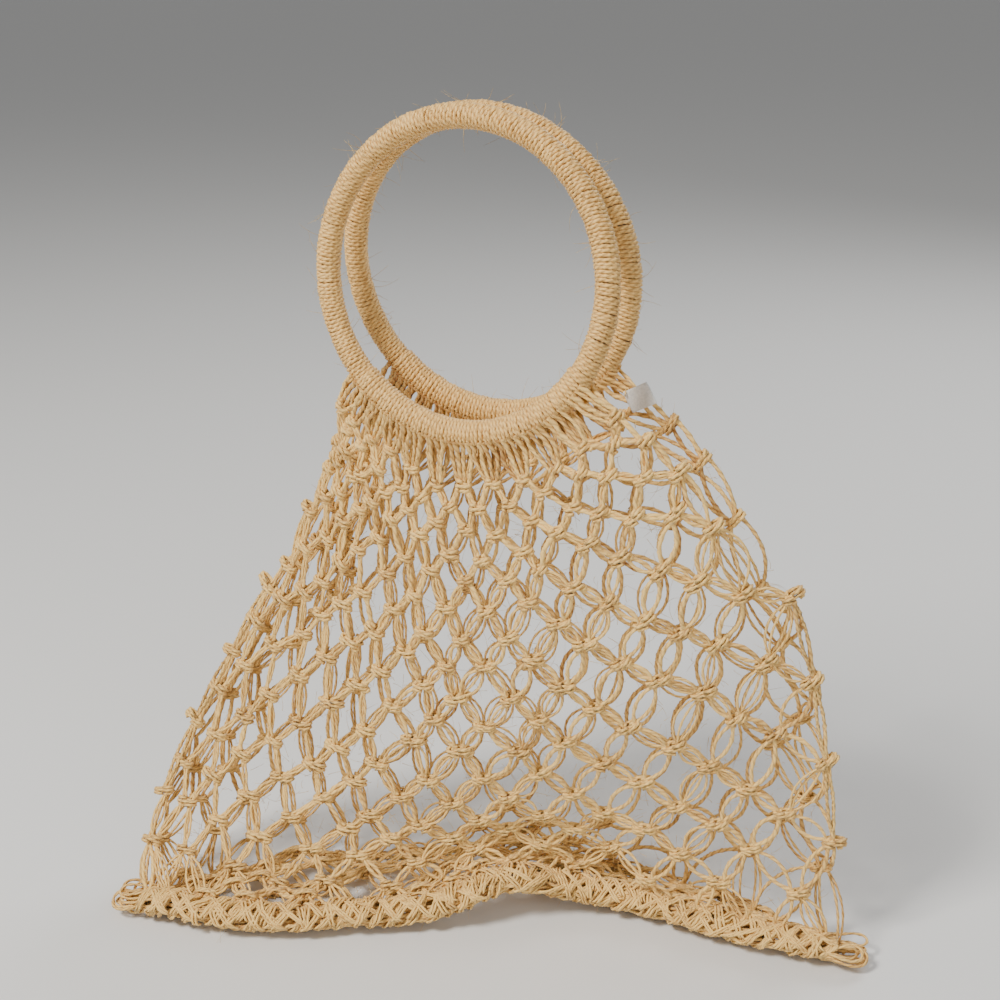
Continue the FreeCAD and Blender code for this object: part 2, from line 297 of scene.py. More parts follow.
class Twine:
    """Gathers strands of one piece and sweeps them into one mesh."""

    def __init__(self):
        self.vertices, self.tones, self.loops, self.sizes, self.uvs = [], [], [], [], []
        self.count = 0

    def add(self, paths, radius, tone, sides=6, flatness=0.14, lay=16 * MM, taper=None):
        """paths is (strands, points, 3); radius and tone have one value for each strand. The
        ring turns along a strand by double reflection, so it doesn't twist at bends."""
        paths = np.array(paths, float)
        strands, points, _ = paths.shape
        radius = np.broadcast_to(np.asarray(radius, float), (strands,))
        paths[..., 2] = np.maximum(paths[..., 2], 1.15 * radius[:, None])   # above ground
        tone = np.broadcast_to(np.asarray(tone, float), (strands,))
        tangent = unit(np.gradient(paths, axis=1))
        normal = np.empty_like(paths)
        helper = np.where(np.abs(tangent[:, 0, 2:3]) < 0.8, (0, 0, 1.0), (1.0, 0, 0))
        normal[:, 0] = unit(np.cross(tangent[:, 0], helper))
        for i in range(points - 1):
            step = paths[:, i + 1] - paths[:, i]
            length = np.maximum(dot(step, step), 1e-18)
            carried = normal[:, i] - 2 / length * dot(step, normal[:, i]) * step
            mirrored = tangent[:, i] - 2 / length * dot(step, tangent[:, i]) * step
            bend = tangent[:, i + 1] - mirrored
            size = np.maximum(dot(bend, bend), 1e-18)
            turned = carried - 2 / size * dot(bend, carried) * bend
            along = dot(turned, tangent[:, i + 1]) * tangent[:, i + 1]
            normal[:, i + 1] = unit(turned - along)
        side = np.cross(tangent, normal)
        steps = np.linalg.norm(np.diff(paths, axis=1), axis=-1)
        travel = np.concatenate((np.zeros((strands, 1)), np.cumsum(steps, axis=1)), axis=1)
        around = np.arange(sides) * 2 * np.pi / sides
        angle = around + (travel * 2 * np.pi / lay)[..., None]
        spread = radius[:, None, None] * (1 + flatness * np.cos(2 * around))
        if taper is not None:
            spread = spread * np.asarray(taper)[None, :, None]
        ring = (paths[:, :, None] + (normal[:, :, None] * np.cos(angle)[..., None]
                + side[:, :, None] * np.sin(angle)[..., None]) * spread[..., None])
        index = np.arange(strands * points * sides).reshape(strands, points, sides) + self.count
        beside = np.roll(index, -1, axis=2)
        quads = np.stack((index[:, :-1], beside[:, :-1], beside[:, 1:], index[:, 1:]), axis=-1)
        self.loops.append(quads.reshape(-1))
        self.sizes.append(np.full(quads.size // 4, 4))
        low = np.broadcast_to(np.arange(sides) / sides, quads.shape[:3])
        high = low + 1 / sides
        here = np.broadcast_to(travel[:, :-1, None], quads.shape[:3]) / (10 * MM)
        there = np.broadcast_to(travel[:, 1:, None], quads.shape[:3]) / (10 * MM)
        corners = [(here, low), (here, high), (there, high), (there, low)]
        self.uvs.append(np.stack([np.stack(c, -1) for c in corners], axis=-2).reshape(-1, 2))
        for cap in (index[:, 0, ::-1], index[:, -1]):
            self.loops.append(cap.reshape(-1))
            self.sizes.append(np.full(strands, sides))
            self.uvs.append(np.zeros((cap.size, 2)))
        self.vertices.append(ring.reshape(-1, 3))
        self.tones.append(np.repeat(tone, points * sides))
        self.count += strands * points * sides

    def build(self, name, finish):
        mesh = bpy.data.meshes.new(name)
        vertices = np.concatenate(self.vertices)
        loops, sizes = np.concatenate(self.loops), np.concatenate(self.sizes)
        mesh.vertices.add(len(vertices))
        mesh.vertices.foreach_set("co", vertices.astype(np.float32).ravel())
        mesh.loops.add(len(loops))
        mesh.loops.foreach_set("vertex_index", loops.astype(np.int32))
        mesh.polygons.add(len(sizes))
        starts = np.concatenate(((0,), np.cumsum(sizes)[:-1]))
        mesh.polygons.foreach_set("loop_start", starts.astype(np.int32))
        mesh.polygons.foreach_set("use_smooth", np.ones(len(sizes), bool))
        mesh.uv_layers.new(name="along")
        mesh.uv_layers[0].data.foreach_set("uv", np.concatenate(self.uvs).astype(np.float32).ravel())
        tone = mesh.attributes.new("tone", "FLOAT", "POINT")
        tone.data.foreach_set("value", np.concatenate(self.tones).astype(np.float32))
        mesh.update()
        mesh.validate()
        piece = bpy.data.objects.new(name, mesh)
        bpy.context.scene.collection.objects.link(piece)
        mesh.materials.append(finish)
        return piece


# ---- finishes --------------------------------------------------------------------------
class Nodes:
    """Adds and joins shader nodes of one material."""

    def __init__(self, name):
        old = bpy.data.materials.get(name)
        self.material = old or bpy.data.materials.new(name)
        self.material.use_nodes = True
        self.tree = self.material.node_tree
        self.tree.nodes.clear()

    def add(self, kind, **values):
        node = self.tree.nodes.new(kind)
        for key, value in values.items():
            if key in node.inputs:
                node.inputs[key].default_value = value
            else:
                setattr(node, key, value)
        return node

    def join(self, source, target):
        self.tree.links.new(source, target)

    def math(self, operation, first, second, third=0.0):
        node = self.add("ShaderNodeMath", operation=operation)
        for socket, value in zip(node.inputs, (first, second, third)):
            if isinstance(value, float):
                socket.default_value = value
            else:
                self.join(value, socket)
        return node.outputs[0]

    def ramp(self, source, low, dark, high, light):
        """Colours from dark at low to light at high."""
        node = self.add("ShaderNodeValToRGB")
        for element, place, color in zip(node.color_ramp.elements, (low, high), (dark, light)):
            element.position = place
            element.color = (*color, 1)
        self.join(source, node.inputs["Fac"])
        return node.outputs["Color"]

    def relief(self, source, strength, depth):
        node = self.add("ShaderNodeBump", Strength=strength, Distance=depth)
        self.join(source, node.inputs["Height"])
        return node.outputs["Normal"]

    def surface(self, roughness, color=None, normal=None):
        """The shader and its output, with constants on the shader's own sockets."""
        shader = self.add("ShaderNodeBsdfPrincipled", Roughness=roughness)
        if color:
            self.join(color, shader.inputs["Base Color"])
        if normal:
            self.join(normal, shader.inputs["Normal"])
        out = self.add("ShaderNodeOutputMaterial")
        self.join(shader.outputs["BSDF"], out.inputs["Surface"])
        return shader


def twine_finish(name, dark, light, roughness, sheen, lay, relief_height):
    """Two-ply plant fibre: a groove winds along between the plies, in the relief and as painted
    shade that darkens the colour in the groove, with streaks along the fibres and a tone that
    changes from strand to strand, darker on the back as painted shade."""
    nodes = Nodes(name)
    uv = nodes.add("ShaderNodeUVMap", uv_map="along")
    split = nodes.add("ShaderNodeSeparateXYZ")
    nodes.join(uv.outputs["UV"], split.inputs[0])
    around = nodes.math("MULTIPLY", split.outputs["Y"], 2 * math.pi)
    phase = nodes.math("MULTIPLY_ADD", split.outputs["X"], 20 * MM * math.pi / lay, around)
    ply = nodes.math("ABSOLUTE", nodes.math("SINE", phase, 0.0), 0.0)
    stretch = nodes.add("ShaderNodeMapping", Scale=(2.4, 7.0, 1.0))
    nodes.join(uv.outputs["UV"], stretch.inputs["Vector"])
    fibres = nodes.add("ShaderNodeTexNoise", Scale=1.0, Detail=3.0, Roughness=0.6)
    nodes.join(stretch.outputs["Vector"], fibres.inputs["Vector"])
    place = nodes.add("ShaderNodeTexCoord")
    patches = nodes.add("ShaderNodeTexNoise", Scale=60.0, Detail=2.0)
    nodes.join(place.outputs["Object"], patches.inputs["Vector"])
    tone = nodes.add("ShaderNodeAttribute", attribute_name="tone")
    total = nodes.math("MULTIPLY_ADD", fibres.outputs["Fac"], 0.5, tone.outputs["Fac"])
    total = nodes.math("MULTIPLY_ADD", patches.outputs["Fac"], 0.4, total)
    # Painted shade: the colour is darker in the groove between the plies than on their crowns; the
    # same groove also drives the relief.
    total = nodes.math("MULTIPLY_ADD", ply, 0.55, total)
    total = nodes.math("MULTIPLY", total, 0.62)
    height = nodes.math("MULTIPLY_ADD", fibres.outputs["Fac"], 0.35, ply)
    shader = nodes.surface(roughness, nodes.ramp(total, 0.38, dark, 0.95, light),
                           nodes.relief(height, 0.7, relief_height))
    shader.inputs["Sheen Weight"].default_value = sheen
    shader.inputs["Sheen Roughness"].default_value = 0.45
    shader.inputs["Specular IOR Level"].default_value = 0.35
    return nodes.material


def net_finish():
    finish = bpy.context.scene.bag_finish
    lay = bpy.context.scene.bag_net.lay
    return twine_finish("straw_twine", finish.straw_dark, finish.straw_light, 0.62, 0.2, lay,
                        0.3 * MM)


def winding_finish():
    finish = bpy.context.scene.bag_finish
    return twine_finish("golden_winding", finish.gold_dark, finish.gold_light, 0.5, 0.15,
                        5 * MM, 0.3 * MM)


def grain_finish(name, color, scale, stretch, roughness, depth):
    """Cane or paper: fine grain on the object's own coordinates."""
    nodes = Nodes(name)
    place = nodes.add("ShaderNodeTexCoord")
    mapping = nodes.add("ShaderNodeMapping", Scale=stretch)
    nodes.join(place.outputs["Object"], mapping.inputs["Vector"])
    grain = nodes.add("ShaderNodeTexNoise", Scale=scale, Detail=5.0)
    nodes.join(mapping.outputs["Vector"], grain.inputs["Vector"])
    dark = [value * 0.8 for value in color]
    source = grain.outputs["Fac"]
    nodes.surface(roughness, nodes.ramp(source, 0.3, dark, 0.7, color),
                  nodes.relief(source, 0.3, depth))
    return nodes.material


# ---- hoops -----------------------------------------------------------------------------
def wound_layer(side, tube, start, end, pitch, seed):
    """One twine wound round a hoop from angle start to end, as one long uneven helix."""
    rng = np.random.default_rng(seed)
    radius = hoop_radius()
    turns = int(abs(end - start) * radius / pitch)
    per_turn = 14
    count = turns * per_turn + 1
    place = np.linspace(0, 1, count)
    wander = np.interp(place * turns, np.arange(turns + 2), rng.normal(0, 0.22, turns + 2))
    slant = np.interp(place * turns, np.arange(turns + 2), rng.normal(0, 0.10, turns + 2))
    swell = np.interp(place * turns, np.arange(turns + 2), rng.normal(0, 0.10, turns + 2))
    strand = pitch * 0.64
    phase = place * turns * 2 * np.pi
    advance = (wander * 0.5 + (0.5 + slant) * np.sin(phase)) * pitch / radius
    angle = start + (end - start) * place + advance
    out = unit(around_hoop(side, 1.0, angle) - hoop_centre(side))
    across = np.cross(hoop_down(side), (1.0, 0, 0))
    reach = tube / 2 - strand * 0.85 + swell * strand
    ring = hoop_centre(side) + out * radius
    path = ring + out * column(reach * np.cos(phase)) + across * column(reach * np.sin(phase))
    return path[None], strand


class BAG_OT_hoops(bpy.types.Operator):
    """Winds the twine round both hoops and binds the net's arc with a thicker winding"""
    bl_idname = "bag.hoops"
    bl_label = "Hoop windings"

    def execute(self, context):
        hoops = context.scene.bag_hoops
        first_turn = math.radians(100)
        layers = (("winding", "wrapping", hoops.wrapped, first_turn, first_turn + 2 * math.pi,
                   hoops.pitch, 0.5, 11),
                  ("binding", "binding", hoops.bound, -hoops.bound_left, hoops.bound_right,
                   hoops.pitch * 1.1, 0.54, 31))
        for side, name in SIDE_NAMES.items():
            for kind, node, tube, start, end, pitch, tone, seed in layers:
                path, strand = wound_layer(side, tube, start, end, pitch, seed + side)
                twine = Twine()
                twine.add(path, strand, tone, flatness=0.12)
                piece = twine.build(f"{name}_{kind}", winding_finish())
                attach(piece, f"{name}_hoop")
                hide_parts(f"{name}_hoop_{node}")
        cane = grain_finish("cane", context.scene.bag_finish.cane, 120.0, (1, 1, 6), 0.5, 0.2 * MM)
        for name in SIDE_NAMES.values():
            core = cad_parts[f"{name}_hoop_core"]
            core.data.materials.clear()
            core.data.materials.append(cane)
        return {"FINISHED"}


# ---- net -------------------------------------------------------------------------------
BASE_ROWS = 7              # more rows of the back net, on the ground
TOP_ROWS, MIDDLE_ROWS = 6, 11   # the panel's three bands end at these rows
FRONT_SEED, BACK_SEED = 101, 202
SPACED_ROWS = (0, 3, 6, 11, 14, 17)
ROW_SPACING = (10, 12, 17, 18, 11, 8)   # rows stand closer at the hoops and at the ground
LEFT_CROWDING = 1.3        # columns stand closer towards the left side
SIDE_STEP = 0.1            # a place this near to 0 or to the last column is on a side
U_JITTER, V_JITTER, TILT_JITTER = 0.009, 0.0045, 0.16


class Lattice:
    """Places of the knots of one panel. Even rows stand at half columns, odd rows between."""

    def __init__(self, side, seed, partner=None):
        net = bpy.context.scene.bag_net
        self.side, self.columns = side, net.columns
        self.rng = np.random.default_rng(seed)
        depth = 1.0 if side == FRONT else 1.0 + BASE_PART
        v = np.linspace(0, depth, 400)
        line = net_point(side, np.zeros(400), v)
        length = np.concatenate(((0,), np.cumsum(np.linalg.norm(np.diff(line, axis=0), axis=1))))
        rows = net.rows if side == FRONT else net.rows + BASE_ROWS
        share = np.interp(np.arange(rows), SPACED_ROWS, ROW_SPACING)
        reach = np.cumsum(share) - share[0]
        reach = 7 * MM + reach / reach[-1] * (length[-1] - 16 * MM)
        self.v_rows = np.interp(reach, length, v)
        self.partner = partner
        self.rows = [self.row(index) for index in range(rows)]

    def u_of(self, places):
        return -1 + 2 * np.clip(places / self.columns, 0, 1) ** LEFT_CROWDING

    def on_side(self, places):
        return (places <= SIDE_STEP) | (places >= self.columns - SIDE_STEP)

    def slump(self, u, v):
        """Slack folds of the lowest part of the net, fading to the seam and the sides."""
        low = np.clip((v - 0.68) / 0.14, 0, 1) * np.clip((1 - v) / 0.08, 0, 1)
        fold = 4.5 * np.sin(6.5 * u + 0.6) + 3.0 * np.sin(15 * u + 1.9 + 9 * v)
        pile = np.clip((v - 0.97) / 0.05, 0, 1) * (1 - u**4)
        heap = 9 + 5 * np.sin(8 * u + 1) + 4 * np.sin(19 * u + 30 * v)
        return (low * (1 - u * u) * (fold + 2.5) + pile * heap) * MM

    def sheared(self, u, v):
        """Rows rise towards the left side as well as towards the right."""
        lift = 0.10 * np.clip(-u, 0, 1) ** 1.4 * 4 * np.clip(v, 0, 1) * (1 - np.clip(v, 0, 1))
        return v - lift

    def row(self, index):
        even = index % 2 == 0
        joined = self.v_rows[index] > SLIT_END
        if even:
            places = np.arange(self.columns) + 0.5
        elif joined:
            places = np.arange(self.columns + 1).astype(float)
        else:
            places = np.arange(1, self.columns).astype(float)
        u = self.u_of(places)
        v = self.sheared(u, np.full_like(u, self.v_rows[index]))
        if self.partner and 0 < index <= len(self.partner.rows):
            u, v = self.hidden(index, places, u, v)
        inner = ~self.on_side(places)
        u = u + np.where(inner, self.rng.normal(0, U_JITTER, u.shape), 0)
        v = v + np.where(inner, self.rng.normal(0, V_JITTER, u.shape), 0)
        across, down, outward = net_frame(self.side, u, v)
        slack = 0.8 * MM + 2.2 * MM * np.clip((v - 0.72) / 0.2, 0, 1)
        shift = np.where(inner, self.rng.normal(0, 1, u.shape), 0) * slack
        shift = np.where(v > 1, np.abs(shift) * 0.4, shift)
        place = net_point(self.side, u, v) + outward * column(shift + self.slump(u, v))
        tilt = column(self.rng.normal(0, TILT_JITTER, u.shape))
        turned = across * np.cos(tilt) + down * np.sin(tilt)
        return {"u": u, "v": v, "at": place, "places": places, "across": turned,
                "down": unit(np.cross(outward, turned)), "out": outward}

    def hidden(self, index, places, u, v):
        """Moves the knots of the back behind those of the front, as the slack net nests when
        the bag hangs flat, fading out to the joined sides."""
        front = self.partner.rows[index - 1]
        eye = np.array(camera_place())
        for i, place in enumerate(places):
            match = np.nonzero(np.abs(front["places"] - (place + 0.5)) < 0.1)[0]
            if not len(match) or v[i] > 0.98:
                continue
            knot = front["at"][match[0]]
            ray = unit(knot - eye)
            guess = np.array((u[i], v[i]))
            for _ in range(6):
                here = net_point(self.side, *guess)
                steps = [net_point(self.side, guess[0] + 0.01, guess[1]) - here,
                         net_point(self.side, guess[0], guess[1] + 0.01) - here]
                flat = [step - ray * (step @ ray) for step in steps]
                miss = (knot - here) - ray * ((knot - here) @ ray)
                move = np.linalg.lstsq(np.array(flat).T, miss, rcond=None)[0] * 0.01
                guess = np.clip(guess + move, (-1, 0), (1, 1))
            fade = np.clip((1 - abs(u[i])) / 0.25, 0, 1)
            gap = guess - (u[i], v[i])
            if np.hypot(gap[0], gap[1] * 1.5) < 0.2:
                u[i], v[i] = np.array((u[i], v[i])) + gap * fade
        return u, v

    def links(self, index):
        """Pairs of knots joined between a row and the next, with +1 for lower right."""
        upper, lower = self.rows[index], self.rows[index + 1]
        pairs = []
        for i, place in enumerate(upper["places"]):
            for way in (-1, 1):
                found = np.nonzero(np.abs(lower["places"] - (place + 0.5 * way)) < SIDE_STEP)[0]
                if len(found):
                    pairs.append((i, int(found[0]), way))
        return np.array(pairs)


# Each wrap of a knot: turns, thickness in cords, place down the knot, and first angle over pi.
KNOT_WRAPS = ((2.0, 2.1, 0.0, -0.5), (1.0, 1.5, 0.15, -0.35))
MIRRORED_KNOTS = 0.35      # share of the knots that are tied the other way round
BACK_SHADE = -0.12         # painted shade: the back's cords are a little darker, as the back panel stands in shade


def knot_strands(lattice, index, twine, chosen):
    """The chosen square knots of one row: two helical wraps round the cords."""
    net = bpy.context.scene.bag_net
    row, rng = lattice.rows[index], lattice.rng
    if not len(chosen):
        return
    count = len(chosen)
    squeeze = np.clip(spacing(lattice, row, chosen) / (22 * MM), 0.6, 1.15)
    width = (net.knot_width * squeeze * (1 + rng.normal(0, 0.08, count)))[:, None]
    height = (net.knot_height * (1 + rng.normal(0, 0.12, count)))[:, None]
    mirror = np.where(rng.random(count) < MIRRORED_KNOTS, -1.0, 1.0)[:, None]
    a, d, n = (row[key][chosen][:, None] for key in ("across", "down", "out"))
    centre = row["at"][chosen][:, None]
    for turns, thick, lift, start in KNOT_WRAPS:
        theta = np.linspace(0, turns, int(turns * 11) + 1)[None] * 2 * np.pi + start * np.pi
        rise = np.linspace(-0.62, 0.62, theta.shape[1])[None] * (1 if turns > 1 else -0.9)
        sway = rng.normal(0, 0.1, (count, 1))
        across = width * (np.cos(theta) + sway) * mirror * (1.0 if turns > 1 else 0.86)
        out = net.cord * (thick * np.sin(theta) + (0.5 if turns <= 1 else 0))
        down = height * (rise + lift + 0.16 * np.cos(theta + 0.6))
        path = centre + a * across[..., None] + d * down[..., None] + n * out[..., None]
        # random tone, with painted shade on the back's cords
        tone = 0.56 + rng.normal(0, 0.12, count) + back_painted_shade(lattice)
        twine.add(path, net.cord * (0.96 + rng.normal(0, 0.06, count)), tone)


# Painted shade: darkens the tone of the back panel's cords, where the back stands in shade.
def back_painted_shade(lattice):
    return BACK_SHADE if lattice.side == BACK else 0.0


def spacing(lattice, row, chosen):
    """Distance across the net from one knot to the next in its row."""
    u = row["u"][chosen]
    step = 1.0 / lattice.columns
    a = net_point(lattice.side, u - step, row["v"][chosen])
    b = net_point(lattice.side, u + step, row["v"][chosen])
    return np.linalg.norm(b - a, axis=-1)


def bow_of(u, v):
    """Slack links bow wide on the right and in the middle, and are pulled straight at the left
    and near the hoops."""
    net = bpy.context.scene.bag_net
    across = np.clip((u + 0.62) / 0.6, 0, 1)
    across = across * across * (3 - 2 * across)
    down = np.clip((v - 0.03) / 0.25, 0, 1)
    low = np.clip((v - 0.75) / 0.2, 0, 1)
    open_part = np.maximum(across, low * 0.85) * down
    return net.tight_bow + (net.open_bow - net.tight_bow) * open_part


def link_strands(lattice, starts, ends, way, twine):
    """Cords from knot to knot. starts and ends hold the knots' places and directions."""
    net = bpy.context.scene.bag_net
    rng = lattice.rng
    way = column(way)
    count = len(way)
    run = ends["at"] - starts["at"]
    length = np.linalg.norm(run, axis=-1, keepdims=True)
    side_step = unit(np.cross(starts["out"] + ends["out"], run)) * way
    bow = column(bow_of(starts["u"], starts["v"])) * length * 1.3
    loose = np.interp(starts["u"], (-1, -0.3, 0.1, 0.5, 1), (0.85, 0.8, 0.6, 0.3, 0.4))
    split = rng.random(count) < loose
    for outer in (True, False):
        leave, arrive = ((0.62, 0.1), (0.2, -0.5)) if outer else ((0.2, 0.5), (0.62, -0.1))
        start = (starts["at"] + starts["across"] * way * leave[0] * net.knot_width
                 + starts["down"] * leave[1] * net.knot_height)
        end = (ends["at"] - ends["across"] * way * arrive[0] * net.knot_width
               + ends["down"] * arrive[1] * net.knot_height)
        sign = 1.0 if outer else -1.0
        for ply in range(2):
            use = np.ones(count, bool) if ply == 0 else split
            if not use.any():
                continue
            amount = bow * sign * (1 + rng.normal(0, 0.13, (count, 1)))
            amount = amount * np.where(column(split), 1.1 if ply else 0.62, 1.0)
            amount = amount + sign * np.where(column(split), (0.7 if ply else -0.5) * MM, 0)
            rise = column(rng.normal(0, 0.8 * MM, count))
            reach = (end - start) * (0.30 + rng.normal(0, 0.03, (count, 1)))
            first = start + reach + side_step * amount + starts["out"] * rise
            second = end - reach + side_step * amount + ends["out"] * rise
            paths = bezier_path(start, first, second, end, 21)[use]
            radius = np.where(split, net.ply, net.cord) * (1 + rng.normal(0, 0.08, count))
            # random tone, with painted shade on the back's cords
            tone = 0.58 + rng.normal(0, 0.15, count) + back_painted_shade(lattice)
            twine.add(paths, radius[use], tone[use])


def pick(row, chosen):
    return {key: row[key][chosen] for key in ("u", "v", "at", "across", "down", "out")}


def band(lattice, first, last, name, stands_for=(), folds=False):
    """A band of the net from row first to row last, with the links below each row. The cords
    of the very last row run into the plaited edge."""
    twine = Twine()
    for index in range(first, last):
        row = lattice.rows[index]
        knot_strands(lattice, index, twine, np.nonzero(~lattice.on_side(row["places"]))[0])
        if index + 1 < len(lattice.rows):
            pairs = lattice.links(index)
            link_strands(lattice, pick(row, pairs[:, 0]),
                         pick(lattice.rows[index + 1], pairs[:, 1]), pairs[:, 2], twine)
        if index % 2 == 0 and index + 2 < len(lattice.rows):
            below = lattice.rows[index + 1]["places"]
            if below[0] > 0.5:
                edge_cords(lattice, index, twine)
        if index + 1 == len(lattice.rows):
            braid_links(lattice, index, twine)
    piece = twine.build(name, net_finish())
    if folds:
        fold_with_hoop(piece)
    else:
        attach(piece, "net")
    if stands_for:
        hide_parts(*stands_for)


def edge_cords(lattice, index, twine):
    """Cords that skip a row along an open side."""
    upper, lower = lattice.rows[index], lattice.rows[index + 2]
    ends = [0, len(upper["u"]) - 1]
    target = [0, len(lower["u"]) - 1]
    link_strands(lattice, pick(upper, ends), pick(lower, target), np.array((-1, 1)), twine)


def braid_links(lattice, index, twine):
    """The last cords, from the knots of the last row down into the plaited edge."""
    row = lattice.rows[index]
    for way in (-1, 1):
        u = np.clip(row["u"] + way * 0.5 * 2 / lattice.columns, -0.99, 0.99)
        target = pick(row, slice(None))
        target["at"] = seam(u) + vec(0, 0, 1)
        link_strands(lattice, pick(row, slice(None)), target, np.full(len(u), way), twine)


HEADING_SPOTS = (-0.8, -0.3, 0.28, 0.78)   # each knot's loops, in half columns from it


def heading(lattice, name):
    """Close loops from the hoop's binding down to the first row of knots."""
    net, hoops = bpy.context.scene.bag_net, bpy.context.scene.bag_hoops
    rng, side, row = lattice.rng, lattice.side, lattice.rows[0]
    across = np.array((1.0, 0, 0))
    outward = unit(np.cross(across, hoop_down(side))) * side
    twine = Twine()
    count = len(row["u"])
    reach = hoop_radius() + hoops.bound / 2
    for spot in HEADING_SPOTS:
        u = row["u"] + spot / lattice.columns + rng.normal(0, 0.006, count)
        angle = -hoops.bound_left + (hoops.bound_left + hoops.bound_right) * (u + 1) / 2
        for face in (1, -1):
            lift = outward * face
            top = around_hoop(side, reach - 4 * MM, angle) + lift * (hoops.bound / 2 - 1.6 * MM)
            shoulder = around_hoop(side, reach + 0.3 * MM, angle) + lift * 3.2 * MM
            waist = around_hoop(side, reach + 6 * MM + rng.normal(0, MM, count), angle)
            waist = waist + lift * 1.4 * MM + across * column(rng.normal(0, 0.7 * MM, count))
            foot = row["at"] + row["across"] * spot * 0.75 * net.knot_width
            path = smooth_path(np.stack((top, shoulder, waist, foot), axis=1), 15)
            # random tone, with painted shade on the back's cords
            tone = 0.46 + rng.normal(0, 0.14, count) + back_painted_shade(lattice)
            twine.add(path, net.cord * (1.05 + rng.normal(0, 0.1, count)), tone)
    piece = twine.build(name, net_finish())
    fold_with_hoop(piece)
    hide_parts(f"{SIDE_NAMES[side]}_heading_loops")


class BAG_OT_front_net(bpy.types.Operator):
    """Knots the front panel in three bands, with the heading loops above it"""
    bl_idname = "bag.front_net"
    bl_label = "Front net"

    def execute(self, context):
        lattice = Lattice(FRONT, FRONT_SEED)
        heading(lattice, "front_heading")
        band(lattice, 0, TOP_ROWS, "front_net_top", folds=True)
        band(lattice, TOP_ROWS, MIDDLE_ROWS, "front_net_middle",
             stands_for=("front_net_panel",))
        band(lattice, MIDDLE_ROWS, len(lattice.rows), "front_net_foot")
        side_knots(lattice)
        return {"FINISHED"}


class BAG_OT_back_net(bpy.types.Operator):
    """Knots the back panel and the slack net that lies on the ground"""
    bl_idname = "bag.back_net"
    bl_label = "Back and base net"

    def execute(self, context):
        lattice = Lattice(BACK, BACK_SEED, partner=Lattice(FRONT, FRONT_SEED))
        heading(lattice, "back_heading")
        resting = int(np.argmax(lattice.v_rows > 1.0))
        band(lattice, 0, TOP_ROWS, "back_net_top", folds=True)
        band(lattice, TOP_ROWS, MIDDLE_ROWS, "back_net_middle",
             stands_for=("back_net_panel",))
        band(lattice, MIDDLE_ROWS, resting, "back_net_foot")
        band(lattice, resting, len(lattice.rows), "base_net_on_ground", stands_for=("base_net",))
        return {"FINISHED"}


def side_knots(lattice):
    """The knots shared by both panels down each side, with a cord laced along them."""
    net, rng = bpy.context.scene.bag_net, lattice.rng
    for end, name in ((0, "left_side_join"), (-1, "right_side_join")):
        twine = Twine()
        shared = [i for i in range(1, len(lattice.rows), 2)
                  if lattice.rows[i]["places"][0] < 0.1]
        for index in shared:
            row = lattice.rows[index]
            knot_strands(lattice, index, twine, np.array([len(row["u"]) - 1 if end else 0]))
        for upper, lower in zip(shared, shared[1:]):
            a = pick(lattice.rows[upper], [end])
            b = pick(lattice.rows[lower], [end])
            way = -1.0 if end == 0 else 1.0
            for push in (2.5 * MM, -1.5 * MM):
                middle = (a["at"] + b["at"]) / 2 + a["across"] * way * push
                middle = middle + a["out"] * rng.normal(0, MM, (1, 1))
                path = smooth_path(np.stack((a["at"], middle, b["at"]), axis=1), 15)
                twine.add(path, net.cord, 0.5 + rng.normal(0, 0.12))
        piece = twine.build(f"{name}_knots", net_finish())
        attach(piece, "net")
        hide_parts(name)


# ---- plaited edge ----------------------------------------------------------------------
BRAID_SAMPLES = 280
FILL_STRANDS, FILL_ANGLE = 20, 2.4         # straight strands inside the plait, spread by angle
BUNDLES, BUNDLE_STRANDS = 4, 5
STITCH_SPACING = 5 * MM
CORNER_RINGS = 14


